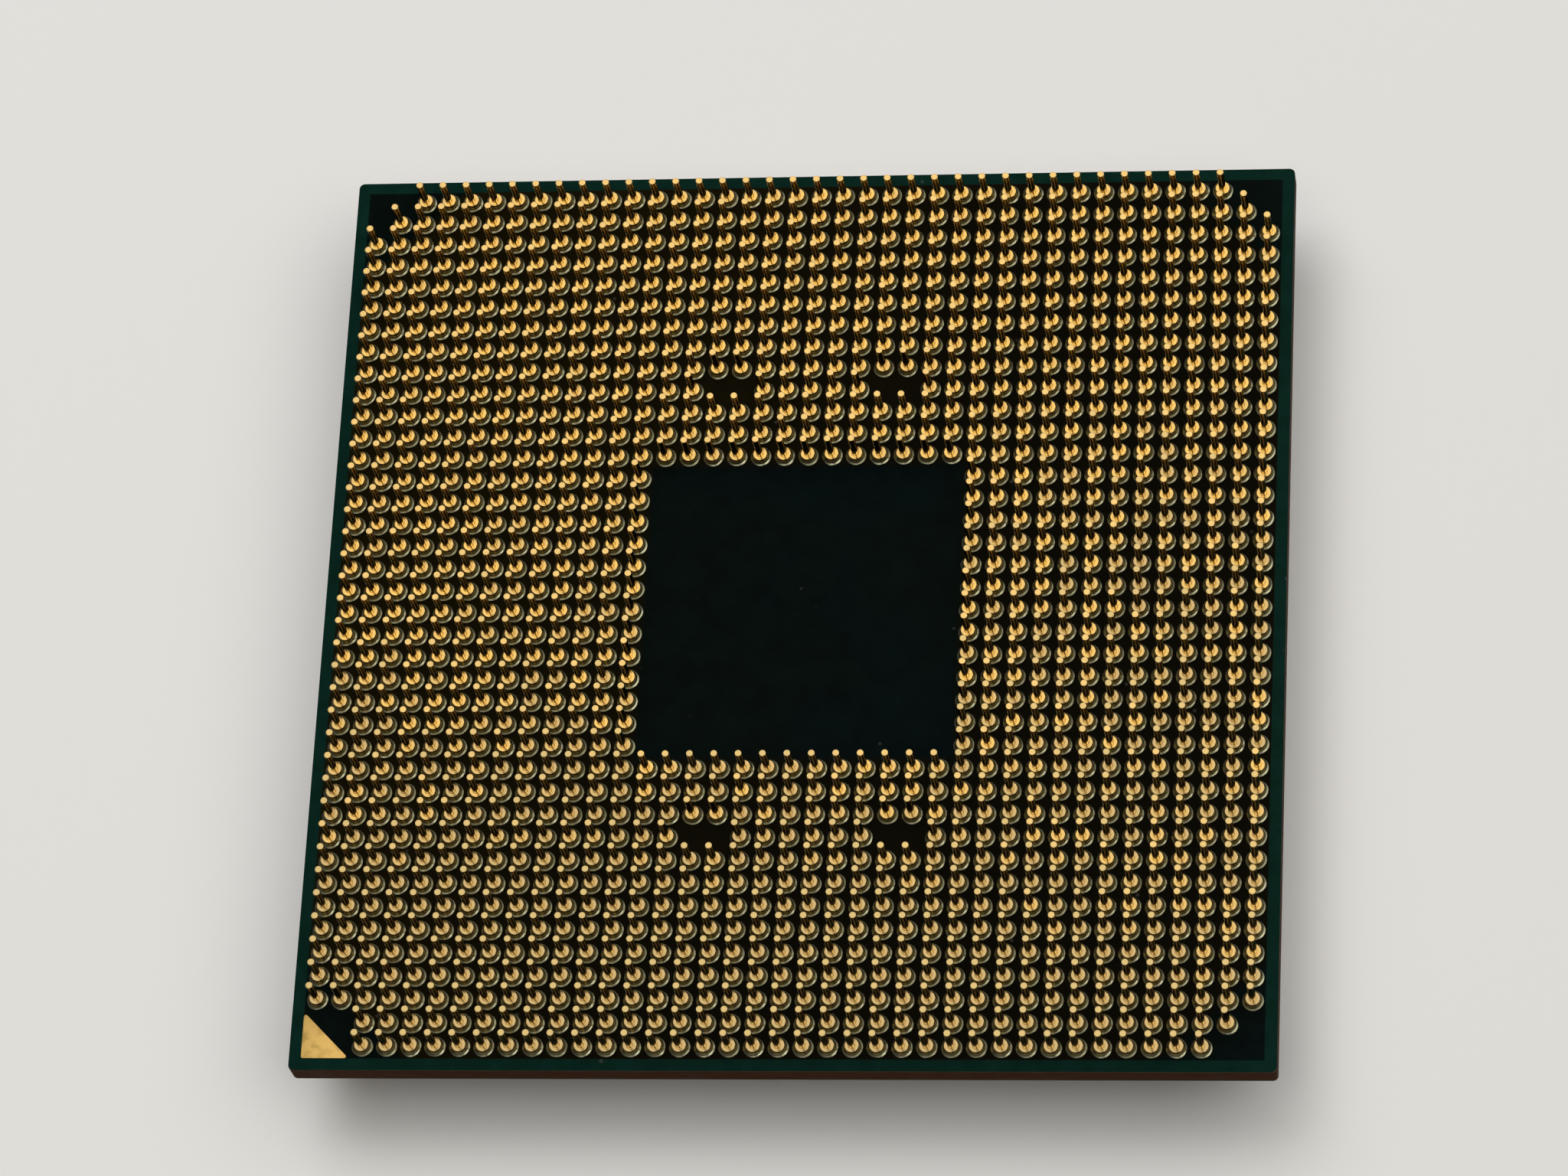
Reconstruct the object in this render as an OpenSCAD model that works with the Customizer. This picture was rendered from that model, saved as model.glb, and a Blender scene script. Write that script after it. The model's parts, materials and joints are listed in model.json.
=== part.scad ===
// Desktop processor in a pin-grid package, lying on its lid with the pins up.
// The origin is the centre of the lid's contact face, and +Z points out along the pins.
// Rows of pins are counted along +Y and columns along +X, from the marked corner at -X, -Y.

/* [Pin grid] */
// Distance between neighbouring pins
pin_pitch = 1; // [0.95:0.01:1.3]
// Pins along each side of the full grid
pins_across = 39; // [35:2:45]
// Pins left out along each side of the middle window
window_pins = 13; // [7:2:15]
// Pins left out along the edge at each corner
corner_pins = 2; // [1:1:3]
// From the outermost pins' centre lines to the edge of the laminate
edge_margin = 1; // [0.8:0.05:1.6]

/* [Key gaps] */
// Pins left out in each key gap
key_pins = 2; // [1:1:3]
// Rows from the middle row out to the key gaps
key_rows_out = 10; // [9:1:15]
// Columns from the middle column to the first empty place of both left gaps
key_left_columns = 4; // [3:1:8]
// Columns from the middle column to the first empty place of the right gap near the marked edge
key_right_near_columns = 4; // [2:1:8]
// Columns from the middle column to the first empty place of the right gap on the far side
key_right_far_columns = 3; // [2:1:8]

/* [Contact pin] */
// Diameter of the shaft
pin_d = 0.3; // [0.2:0.01:0.4]
// Height of the tip above the laminate
pin_h = 1.8; // [1.2:0.05:3]
// Diameter of the nail head
pin_head_d = 0.62; // [0.58:0.01:0.66]
// Thickness of the nail head
pin_head_t = 0.28; // [0.2:0.01:0.35]
// Flare where the shaft grows out of the head
pin_flare = 0.03; // [0.02:0.01:0.09]
// Bevel around the tip
pin_tip_bevel = 0.03; // [0.02:0.01:0.08]

/* [Solder joint] */
// Width of the solder fillet around a pin's head
joint_fillet_w = 0.13; // [0.05:0.01:0.13]
// Solder between the laminate and a pin's head
joint_film_t = 0.05; // [0.01:0.01:0.08]
// Height that the solder climbs on the head's side
joint_climb = 0.1; // [0.04:0.01:0.15]

/* [Laminate] */
// Thickness of the laminate
laminate_t = 1.05; // [0.8:0.05:1.6]
// Radius of the laminate's corners
laminate_corner_r = 0.2; // [0.1:0.05:0.6]

/* [Corner marks] */
// From the laminate's edges to the two short sides of a mark
mark_edge = 0.5; // [0.3:0.05:0.7]
// From the tip of a mark to the nearest solder joint
mark_gap = 0.1; // [0.05:0.01:0.4]
// Thickness of a mark's plating
mark_t = 0.03; // [0.02:0.01:0.06]

/* [Lid] */
// From the laminate's edge back to the lid's wall
lid_setback = 1.4; // [1.2:0.1:2]
// Thickness of the lid over the die
lid_roof_t = 2.25; // [1.5:0.05:3]
// Width of the lid's rim, which is glued down
lid_rim_w = 4.3; // [3.5:0.1:5]
// Radius of the lid's corners
lid_corner_r = 2.5; // [2:0.1:4]
// Bevel around the lid's contact face
lid_bevel = 0.3; // [0.1:0.05:0.6]
// Radius of the corners of the hollow under the lid
hollow_corner_r = 2; // [1:0.1:3]

/* [Lid adhesive] */
// Thickness of the adhesive
adhesive_t = 0.1; // [0.05:0.01:0.2]
// Strip of the rim that stays free of adhesive on either side of the bead
adhesive_margin = 0.6; // [0.3:0.1:1.2]
// Width of the vent gap in the bead
adhesive_vent_w = 3; // [1:0.5:6]

/* [Die] */
// Length of the die
die_l = 22; // [16:0.5:22]
// Width of the die
die_w = 9.7; // [7:0.1:11]
// Thickness of the die
die_t = 0.8; // [0.6:0.05:1]
// Thickness of the thermal interface
interface_t = 0.25; // [0.1:0.05:0.4]
// Height of the bumps under the die
bump_h = 0.1; // [0.06:0.01:0.15]
// Diameter of a bump
bump_d = 0.14; // [0.1:0.01:0.3]
// Distance between neighbouring bumps
bump_pitch = 1; // [0.8:0.05:1.5]
// Reach of the underfill past the die, along the laminate
underfill_reach = 0.6; // [0.3:0.05:0.9]
// Height of the underfill on the die's sides
underfill_climb = 0.4; // [0.2:0.05:0.5]
// Width of the underfill at its upper edge
underfill_lip = 0.05; // [0.02:0.01:0.1]

/* [Capacitors] */
// Length of a capacitor with its terminals
cap_l = 1; // [0.8:0.05:1.2]
// Width of a capacitor
cap_w = 0.5; // [0.4:0.05:0.7]
// Height of a capacitor
cap_h = 0.5; // [0.3:0.05:0.7]
// Length of a terminal
cap_terminal_l = 0.22; // [0.1:0.01:0.3]
// Free space between neighbouring capacitors in a row
cap_gap = 0.6; // [0.3:0.05:1]
// Rows of capacitors on each long side of the die
cap_rows = 2; // [1:1:3]
// Free space between rows of capacitors, and between the first row and the underfill
cap_row_gap = 0.8; // [0.5:0.05:1]

/* [Hidden] */
$fn = 48;

// Grid of pins
middle = (pins_across + 1) / 2;
near_key_row = middle - key_rows_out;
far_key_row = middle + key_rows_out;
key_gaps = [
  [near_key_row, middle - key_left_columns],
  [near_key_row, middle + key_right_near_columns],
  [far_key_row, middle - key_left_columns],
  [far_key_row, middle + key_right_far_columns],
];

// Outlines, as the length of one side
laminate_side = (pins_across - 1) * pin_pitch + 2 * edge_margin;
lid_side = laminate_side - 2 * lid_setback;
hollow_side = lid_side - 2 * lid_rim_w;
joint_d = pin_head_d + 2 * joint_fillet_w;

// Heights above the lid's contact face
die_z = lid_roof_t + interface_t;
bump_z = die_z + die_t;
laminate_z = bump_z + bump_h;
pin_face_z = laminate_z + laminate_t;
lid_h = laminate_z - adhesive_t;

// Heights above the face that carries the pins
head_top = joint_film_t + pin_head_t;
joint_top = joint_film_t + joint_climb;

// Corner marks fill the empty corner up to the nearest solder joint
mark_leg = edge_margin + corner_pins * pin_pitch - joint_d / 2 - mark_gap - mark_edge;
mark_corner = mark_edge - laminate_side / 2;

// Patterns under the lid
bumps_along = floor((die_l - bump_pitch) / bump_pitch) + 1;
bumps_wide = floor((die_w - bump_pitch) / bump_pitch) + 1;
bump_spots = [
  for (i = [0 : bumps_along - 1], j = [0 : bumps_wide - 1])
    [centred(i, bumps_along) * bump_pitch, centred(j, bumps_wide) * bump_pitch]
];
cap_pitch = cap_l + cap_gap;
caps_in_row = floor((die_l + cap_gap) / cap_pitch);
first_cap_y = die_w / 2 + underfill_reach + cap_row_gap + cap_w / 2;
cap_spots = [
  for (side = [-1, 1], row = [0 : cap_rows - 1], i = [0 : caps_in_row - 1])
    [centred(i, caps_in_row) * cap_pitch, side * (first_cap_y + row * (cap_w + cap_row_gap))]
];

// Cutters run past what they cut by this much
past = 0.5;

row_names = [for (row = [1 : pins_across]) row_name(row)];

// Name of a row of pins, with two digits
function row_name(row) = str("pin_row_", row < 10 ? "0" : "", row);

// Place of item i of count, in steps from the middle of its pattern
function centred(i, count) = i - (count - 1) / 2;

// Place of a row or column of pins along its axis
function pin_at(i) = (i - middle) * pin_pitch;

// Rows or columns between this one and the nearest edge of the grid
function from_edge(i) = min(i - 1, pins_across - i);

// Which places of the grid stay empty
function in_window(row, column) = max(abs(row - middle), abs(column - middle)) <= (window_pins - 1) / 2;
function in_cut_corner(row, column) = from_edge(row) + from_edge(column) < corner_pins;
function in_marked_corner(row, column) = max(row, column) <= corner_pins;
function in_gap(gap, row, column) = row == gap[0] && column >= gap[1] && column < gap[1] + key_pins;
function in_key_gap(row, column) = len([for (gap = key_gaps) if (in_gap(gap, row, column)) gap]) > 0;
function has_pin(row, column) =
  !in_window(row, column) && !in_cut_corner(row, column)
  && !in_marked_corner(row, column) && !in_key_gap(row, column);

// Square outline with round corners
module rounded_square(side, corner_r) {
  inner = side - 2 * corner_r;
  square([side, inner], center = true);
  square([inner, side], center = true);
  for (x = [-1, 1], y = [-1, 1])
    translate([x * inner / 2, y * inner / 2]) circle(corner_r);
}

// Square plate with round corners and a bevel around its lower face
module bevelled_plate(side, corner_r, height, bevel) {
  inner = side - 2 * corner_r;
  half = side / 2;
  section = [
    [-half + bevel, 0], [half - bevel, 0], [half, bevel], [half, height], [-half, height], [-half, bevel]
  ];
  for (turn = [0, 90])
    rotate([0, 0, turn])
      rotate([90, 0, 90])
        linear_extrude(inner, center = true) polygon(section);
  for (x = [-1, 1], y = [-1, 1])
    translate([x * inner / 2, y * inner / 2, 0])
      rotate_extrude()
        polygon([[0, 0], [corner_r - bevel, 0], [corner_r, bevel], [corner_r, height], [0, height]]);
}

// Right-angled triangle of a corner mark, standing on its lower face
module corner_mark() {
  linear_extrude(mark_t)
    translate([mark_corner, mark_corner])
      polygon([[0, 0], [mark_leg, 0], [0, mark_leg]]);
}

// Nail-headed pin, measured from the face that carries it
module contact_pin() {
  r = pin_d / 2;
  rotate_extrude()
    polygon([
      [0, joint_film_t], [pin_head_d / 2, joint_film_t], [pin_head_d / 2, head_top],
      [r + pin_flare, head_top], [r, head_top + pin_flare], [r, pin_h - pin_tip_bevel],
      [r - pin_tip_bevel, pin_h], [0, pin_h]
    ]);
}

// Solder under a pin's head and up around its side, hollow in section like a wetted fillet
module solder_joint() {
  head_r = pin_head_d / 2;
  rotate_extrude()
    polygon([
      [0, 0], [joint_d / 2, 0], [head_r + joint_fillet_w / 3, joint_top / 3],
      [head_r, joint_top], [head_r, joint_film_t], [0, joint_film_t]
    ]);
}

// Ceramic body of a capacitor, hanging from the laminate
module capacitor_body() {
  translate([-cap_l / 2 + cap_terminal_l, -cap_w / 2, laminate_z - cap_h])
    cube([cap_l - 2 * cap_terminal_l, cap_w, cap_h]);
}

// Both terminals of a capacitor
module capacitor_ends() {
  for (end = [0, 1])
    mirror([end, 0, 0])
      translate([-cap_l / 2, -cap_w / 2, laminate_z - cap_h])
        cube([cap_terminal_l, cap_w, cap_h]);
}

module heat_spreader_lid() {
  color("silver")
    difference() {
      bevelled_plate(lid_side, lid_corner_r, lid_h, lid_bevel);
      translate([0, 0, lid_roof_t])
        linear_extrude(lid_h) rounded_square(hollow_side, hollow_corner_r);
    }
}

module lid_adhesive() {
  outer_side = lid_side - 2 * adhesive_margin;
  inner_side = hollow_side + 2 * adhesive_margin;
  color("dimgray")
    translate([0, 0, lid_h])
      linear_extrude(adhesive_t)
        difference() {
          rounded_square(outer_side, lid_corner_r - adhesive_margin);
          rounded_square(inner_side, hollow_corner_r + adhesive_margin);
          translate([-adhesive_vent_w / 2, 0]) square([adhesive_vent_w, outer_side]);
        }
}

module thermal_interface() {
  color("gainsboro")
    translate([0, 0, lid_roof_t])
      linear_extrude(interface_t) square([die_l, die_w], center = true);
}

module processor_die() {
  color("slategray")
    translate([0, 0, die_z])
      linear_extrude(die_t) square([die_l, die_w], center = true);
}

module die_bumps() {
  color("lightgray")
    for (spot = bump_spots)
      translate([spot[0], spot[1], bump_z]) cylinder(d = bump_d, h = bump_h);
}

module die_underfill() {
  foot = [die_l + 2 * underfill_reach, die_w + 2 * underfill_reach];
  lip = [die_l + 2 * underfill_lip, die_w + 2 * underfill_lip];
  color("saddlebrown")
    difference() {
      translate([0, 0, laminate_z])
        mirror([0, 0, 1])
          linear_extrude(bump_h + underfill_climb, scale = [lip[0] / foot[0], lip[1] / foot[1]], slices = 1)
            square(foot, center = true);
      translate([0, 0, bump_z - die_t - past])
        linear_extrude(die_t + past) square([die_l, die_w], center = true);
      for (spot = bump_spots)
        translate([spot[0], spot[1], bump_z - past]) cylinder(d = bump_d, h = bump_h + 2 * past);
    }
}

module capacitor_bodies() {
  color("tan")
    for (spot = cap_spots) translate(spot) capacitor_body();
}

module capacitor_terminals() {
  color("lightgray")
    for (spot = cap_spots) translate(spot) capacitor_ends();
}

module package_substrate() {
  color("#0c1a17")
    translate([0, 0, laminate_z])
      linear_extrude(laminate_t) rounded_square(laminate_side, laminate_corner_r);
}

module lid_side_corner_mark() {
  color("#d9b060")
    translate([0, 0, laminate_z - mark_t]) corner_mark();
}

module pin_side_corner_mark() {
  color("#d9b060")
    translate([0, 0, pin_face_z]) corner_mark();
}

module solder_joints() {
  color("#a9a58c")
    for (row = [1 : pins_across], column = [1 : pins_across])
      if (has_pin(row, column))
        translate([pin_at(column), pin_at(row), pin_face_z]) solder_joint();
}

module pin_row(row) {
  color("#e0b35c")
    for (column = [1 : pins_across])
      if (has_pin(row, column))
        translate([pin_at(column), pin_at(row), pin_face_z]) contact_pin();
}

heat_spreader_lid();
lid_adhesive();
thermal_interface();
processor_die();
die_bumps();
die_underfill();
capacitor_bodies();
capacitor_terminals();
package_substrate();
lid_side_corner_mark();
pin_side_corner_mark();
solder_joints();
for (row = [1 : pins_across])
  pin_row(row);
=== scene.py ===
"""Desktop processor in a pin-grid package, lying on its lid with the pins up."""

import json
import math

import bmesh
import bpy
import numpy as np
from mathutils import Matrix, Vector


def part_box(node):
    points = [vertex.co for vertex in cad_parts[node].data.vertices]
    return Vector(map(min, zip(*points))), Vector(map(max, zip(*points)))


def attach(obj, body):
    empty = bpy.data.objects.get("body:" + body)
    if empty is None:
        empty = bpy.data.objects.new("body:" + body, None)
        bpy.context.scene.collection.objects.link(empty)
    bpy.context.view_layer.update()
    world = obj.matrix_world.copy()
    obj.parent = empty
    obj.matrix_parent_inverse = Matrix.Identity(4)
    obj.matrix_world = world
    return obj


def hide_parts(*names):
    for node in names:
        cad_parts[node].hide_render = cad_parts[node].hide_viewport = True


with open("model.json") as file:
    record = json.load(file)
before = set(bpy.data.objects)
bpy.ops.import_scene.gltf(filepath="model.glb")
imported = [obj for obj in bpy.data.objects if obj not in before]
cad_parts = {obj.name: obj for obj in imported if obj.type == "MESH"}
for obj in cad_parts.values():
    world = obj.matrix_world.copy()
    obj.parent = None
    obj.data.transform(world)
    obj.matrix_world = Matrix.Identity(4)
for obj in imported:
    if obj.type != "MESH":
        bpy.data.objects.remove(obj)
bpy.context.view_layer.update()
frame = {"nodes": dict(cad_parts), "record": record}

# Boxes and rows that the frame gives, in metres
MM = 0.001
laminate_low, laminate_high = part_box("package_substrate")
lid_low, lid_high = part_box("heat_spreader_lid")
interface_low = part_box("thermal_interface")[0]
mark_low, mark_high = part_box("pin_side_corner_mark")
under_mark_low, under_mark_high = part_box("lid_side_corner_mark")
joints_low, joints_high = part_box("solder_joints")
pin_rows = sorted(name for name in frame["nodes"] if name.startswith("pin_row_"))
row_boxes = {name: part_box(name) for name in pin_rows}
first_low, first_high = row_boxes[pin_rows[0]]
middle_row = frame["nodes"][pin_rows[len(pin_rows) // 2]]
pin_mount = next(m for m in frame["record"]["mounts"] if m["name"] == "first_edge_pin")

# Height of the laminate's pin face, and of the pins' tips, solder film and solder above that face
PIN_FACE = laminate_high.z
PIN_TIP = first_high.z - PIN_FACE
JOINT_FILM = first_low.z - PIN_FACE
JOINT_TOP = joints_high.z - PIN_FACE

# Widths that follow from these, the height of the lid's roof, and how far the pin-free window reaches
PIN_SHAFT_R = pin_mount["dims"]["r_mm"] * MM
PIN_HEAD_R = (first_high.y - first_low.y) / 2
JOINT_R = PIN_HEAD_R + (first_low.y - joints_low.y)
LAMINATE_SIDE = laminate_high.x - laminate_low.x
LID_SIDE = lid_high.x - lid_low.x
LID_ROOF = interface_low.z
WINDOW_REACH = min(abs(vertex.co.x) for vertex in middle_row.data.vertices)

# Sizes that the frame's boxes don't give
PIN_PITCH = 1.0 * MM
PIN_HEAD_T = 0.28 * MM
PIN_HEAD_ROUND = 0.03 * MM
PIN_HEAD_CROWN = 0.011 * MM
PIN_FLARE = 0.012 * MM
PIN_TIP_ROUND = 0.03 * MM
LAMINATE_CORNER_R = 0.2 * MM
LAMINATE_EDGE_ROUND = 0.025 * MM
LID_CORNER_R = 2.5 * MM
LID_BEVEL = 0.3 * MM
LID_RIM_W = 4.3 * MM
HOLLOW_CORNER_R = 2.0 * MM
MARK_CORNER_R = 0.07 * MM
MARK_EDGE_ROUND = 0.012 * MM

# How finely round things are cut, and the angle below which two faces look smooth
PIN_SEGMENTS = 18
JOINT_SEGMENTS = 18
CORNER_STEPS = 8
EDGE_SEGMENTS = 3
LID_EDGE_SEGMENTS = 5
ROUND_PROFILE = 0.5
SMOOTH_BELOW = math.radians(35.0)

# How far in the middle of a small rounding lies, as a share of its radius
ROUND_MIDDLE = 0.3

# Free rim of each piece's cell in the texture layout, as a share of the cell
CELL_MARGIN = 0.06

# How dull the pins are: a random part, the painted shade that dulls the pins towards the near edge, and what
# the dull areas add, each area with its middle and reach
RANDOM_DULLNESS = 0.5
NEAR_PAINTED_SHADE = 0.8
AREA_DULLNESS = 0.3
DULL_AREAS = (
    (Vector((-13.0, -15.0)) * MM, 8.0 * MM),
    (Vector((1.0, -16.0)) * MM, 6.0 * MM),
    (Vector((16.0, 1.0)) * MM, 7.0 * MM),
)

# Lumps of the solder joints: waves around a joint with their usual size, and the most that they add up to
LUMP_WAVES = ((1, 0.010), (2, 0.012), (3, 0.012), (5, 0.010))
LUMP_LIMIT = 0.04
DRAW_SEED = 7

# Rows of pins in each of the three bands that share a mesh
BAND_ROWS = 13
BAND_NAMES = ("near", "middle", "far")

# Where a pin's finish changes, as depths below its head's face and as heights above it; on the shaft, a
# painted reflection at the foot gives way to painted shade higher up
HEAD_DARK_TO = 0.05 * MM
HEAD_CLEAN_FROM = 0.03 * MM
SHAFT_FROM = 0.005 * MM
SHAFT_REFLECTION_TO = 0.22 * MM
SHAFT_SHADE_FROM = 0.48 * MM

# Where the solder turns to the brown of painted shade in the crease under the head, as shares of its height
SOLDER_GREY_TO = 0.30
SOLDER_SHADE_FROM = 0.40

# The mask's bare margin, the corners without pins as a sum of X and Y, and how softly the tones change there
MASK_MARGIN = 0.5 * MM
MARGIN_SOFT_IN = 0.02 * MM
MARGIN_SOFT_OUT = 0.03 * MM
CORNER_REACH = 34.8 * MM
CORNER_SOFT = 0.2 * MM
WINDOW_SOFT_IN = 0.3 * MM
WINDOW_SOFT_OUT = 0.1 * MM

# Where the painted reflection of the gold pins on the mask dims, painted brighter towards -X, as shares of
# the laminate's side, on a line that slants with Y
REFLECTION_SLANT = 0.4
BRIGHT_REFLECTION_TO = -0.5
DIM_REFLECTION_FROM = 0.15

# The laminate's cut edge: the pale line along its rims, and the scale sideways that draws noise into layers
RIM_LINE_FULL = 0.05 * MM
RIM_LINE_TO = 0.09 * MM
LAYER_STRETCH = 0.12

# Camera, as the photograph was taken: azimuth from -Y towards +X, elevation and roll in degrees
VIEW_AZIMUTH = 19.85
VIEW_ELEVATION = 65.53
VIEW_ROLL = -18.64
VIEW_DISTANCE = 273.2 * MM
VIEW_AIM = Vector((-0.74 * MM, 1.04 * MM, PIN_FACE))
VIEW_CLIP_START = 0.01

# The camera's lens and sensor, in millimetres
VIEW_LENS = 151.9
VIEW_SENSOR_W = 36.0


# Meshes


def new_piece(name, mesh, materials, nodes):
    """A piece of the object that rides with the part and stands for CAD nodes."""
    piece = bpy.data.objects.new(name, mesh)
    bpy.context.scene.collection.objects.link(piece)
    for material in materials:
        mesh.materials.append(material)
    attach(piece, "root")
    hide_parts(*nodes)


def turned_mesh(name, radii, heights, poles, places, tones, tilts=None):
    """One mesh of many turned pieces, with rings whose radii and heights are by piece, ring and angle.

    poles holds the heights where each piece closes below and above. A piece's tone goes into an attribute
    that its material reads. tilts holds each ring's surface tilt from level, where the shading follows it.
    """
    copies, rings, segments = radii.shape
    angles = np.arange(segments) * (2 * math.pi / segments)
    ring_points = np.stack([radii * np.cos(angles), radii * np.sin(angles), heights], -1)
    points = np.concatenate([ring_points.reshape(copies, -1, 3), np.zeros((copies, 2, 3))], 1)
    points[:, -2, 2] = poles[0]
    points[:, -1, 2] = poles[1]
    points += np.asarray(places)[:, None, :]

    along = np.arange(segments)
    after = (along + 1) % segments
    walls = []
    for ring in range(rings - 1):
        low = ring * segments
        high = low + segments
        walls.append(np.stack([low + along, low + after, high + after, high + along], -1))
    walls = np.concatenate(walls)
    last = (rings - 1) * segments
    foot = np.stack([after, along, np.full(segments, rings * segments)], -1)
    crown = np.stack([last + along, last + after, np.full(segments, rings * segments + 1)], -1)

    per_copy = points.shape[1]
    faces = []
    for copy in range(copies):
        shift = copy * per_copy
        faces += (walls + shift).tolist() + (foot + shift).tolist() + (crown + shift).tolist()
    mesh = bpy.data.meshes.new(name)
    mesh.from_pydata(points.reshape(-1, 3).tolist(), [], faces)
    mesh.polygons.foreach_set("use_smooth", [True] * len(mesh.polygons))
    tone = mesh.attributes.new("tone", "FLOAT", "POINT")
    tone.data.foreach_set("value", np.repeat(np.asarray(tones, np.float32), per_copy))
    lay_out_turned(mesh, copies, rings, segments)
    mesh.update()
    if tilts is not None:
        out = np.sin(tilts)[:, None]
        rise = np.broadcast_to(np.cos(tilts)[:, None], (rings, segments))
        normals = np.stack([out * np.cos(angles), out * np.sin(angles), rise], -1).reshape(-1, 3)
        normals = np.concatenate([normals, [(0.0, 0.0, -1.0), (0.0, 0.0, 1.0)]])
        mesh.normals_split_custom_set_from_vertices(np.tile(normals, (copies, 1)).tolist())
    return mesh


def lay_out_turned(mesh, copies, rings, segments):
    """Texture places for a turned mesh: a cell for each piece, the angle across and the rings upwards."""
    cells = math.ceil(math.sqrt(copies))
    along = np.arange(segments)
    wall = []
    for ring in range(rings - 1):
        for k in along:
            wall += [(k, ring + 1), (k + 1, ring + 1), (k + 1, ring + 2), (k, ring + 2)]
    foot = [uv for k in along for uv in ((k + 1, 1), (k, 1), (k + 0.5, 0))]
    crown = [uv for k in along for uv in ((k, rings), (k + 1, rings), (k + 0.5, rings + 1))]
    one = np.array(wall + foot + crown, np.float32) / (segments, rings + 1)
    one = CELL_MARGIN + (1 - 2 * CELL_MARGIN) * one
    corner = np.array([(copy % cells, copy // cells) for copy in range(copies)], np.float32)
    places = (corner[:, None, :] + one[None, :, :]) / cells
    layer = mesh.uv_layers.new(name="OFBake")
    layer.uv.foreach_set("vector", places.astype(np.float32).ravel())


def round_corners(points, radius, steps):
    """A closed outline with an arc at each corner of the given convex outline, counter-clockwise."""
    outline = []
    count = len(points)
    for i, corner in enumerate(points):
        before = (points[i - 1] - corner).normalized()
        after = (points[(i + 1) % count] - corner).normalized()
        half_angle = before.angle(after) / 2
        centre = corner + (before + after).normalized() * (radius / math.sin(half_angle))
        start = corner + before * (radius / math.tan(half_angle)) - centre
        turn = math.pi - 2 * half_angle
        for step in range(steps + 1):
            angle = turn * step / steps
            cos, sin = math.cos(angle), math.sin(angle)
            outline.append(centre + Vector((start.x * cos - start.y * sin, start.x * sin + start.y * cos)))
    return outline


def square_outline(side, corner_r):
    half = side / 2
    corners = [Vector((half, half)), Vector((-half, half)), Vector((-half, -half)), Vector((half, -half))]
    return round_corners(corners, corner_r, CORNER_STEPS)


def add_ring(shape, outline, height):
    return [shape.verts.new((point.x, point.y, height)) for point in outline]


def join_rings(shape, low, high):
    walls = []
    for i in range(len(low)):
        after = (i + 1) % len(low)
        walls.append(shape.faces.new((low[i], low[after], high[after], high[i])))
    return walls


def round_edges(shape, edges, radius, segments, material=-1):
    bmesh.ops.bevel(
        shape,
        geom=edges,
        offset=radius,
        segments=segments,
        profile=ROUND_PROFILE,
        affect="EDGES",
        material=material,
    )


def finished_mesh(name, shape):
    """Turns a bmesh into a mesh that is smooth where its faces meet at a small angle."""
    bmesh.ops.recalc_face_normals(shape, faces=shape.faces)
    mesh = bpy.data.meshes.new(name)
    for face in shape.faces:
        face.smooth = True
    for edge in shape.edges:
        edge.smooth = edge.calc_face_angle(0.0) < SMOOTH_BELOW
    shape.to_mesh(mesh)
    shape.free()
    return mesh


def slab(name, outline, low, high, edge_round, side_material=0):
    """A flat plate whose upper and lower rims are rounded."""
    shape = bmesh.new()
    bottom = add_ring(shape, outline, low)
    top = add_ring(shape, outline, high)
    for wall in join_rings(shape, bottom, top):
        wall.material_index = side_material
    lower_face = shape.faces.new(list(reversed(bottom)))
    upper_face = shape.faces.new(top)
    edges = list(lower_face.edges) + list(upper_face.edges)
    round_edges(shape, edges, edge_round, EDGE_SEGMENTS, side_material)
    return finished_mesh(name, shape)


# Shader node helpers


def link(tree, source, target):
    tree.links.new(source, target)


def add_node(tree, kind, inputs=None, **settings):
    """A node with its settings, and its inputs as fixed values or as sockets to link from."""
    node = tree.nodes.new(kind)
    for name, value in settings.items():
        setattr(node, name, value)
    for name, value in (inputs or {}).items():
        socket = node.inputs[name]
        if isinstance(value, bpy.types.NodeSocket):
            link(tree, value, socket)
        else:
            socket.default_value = value
    return node


def math_node(tree, operation, first, second=0.0):
    return add_node(tree, "ShaderNodeMath", {0: first, 1: second}, operation=operation).outputs[0]


def ramp(tree, value, low, high, to_low=0.0, to_high=1.0):
    """A value mapped from one range to another, with soft ends."""
    inputs = {"Value": value, "From Min": low, "From Max": high, "To Min": to_low, "To Max": to_high}
    return add_node(tree, "ShaderNodeMapRange", inputs, interpolation_type="SMOOTHSTEP").outputs["Result"]


def mix_colour(tree, share, first, second):
    return add_node(tree, "ShaderNodeMix", {0: share, 6: first, 7: second}, data_type="RGBA").outputs[2]


def mix_value(tree, share, first, second):
    return add_node(tree, "ShaderNodeMix", {0: share, 2: first, 3: second}, data_type="FLOAT").outputs[0]


def noise(tree, place, scale, detail=3.0, roughness=0.5):
    inputs = {"Vector": place, "Scale": scale, "Detail": detail, "Roughness": roughness}
    return add_node(tree, "ShaderNodeTexNoise", inputs).outputs["Fac"]


def object_place(tree):
    return add_node(tree, "ShaderNodeTexCoord").outputs["Object"]


def object_height(tree):
    return add_node(tree, "ShaderNodeSeparateXYZ", {"Vector": object_place(tree)}).outputs["Z"]


def piece_tone(tree):
    """The tone that turned_mesh gave to each piece."""
    return add_node(tree, "ShaderNodeAttribute", attribute_name="tone").outputs["Fac"]


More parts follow.
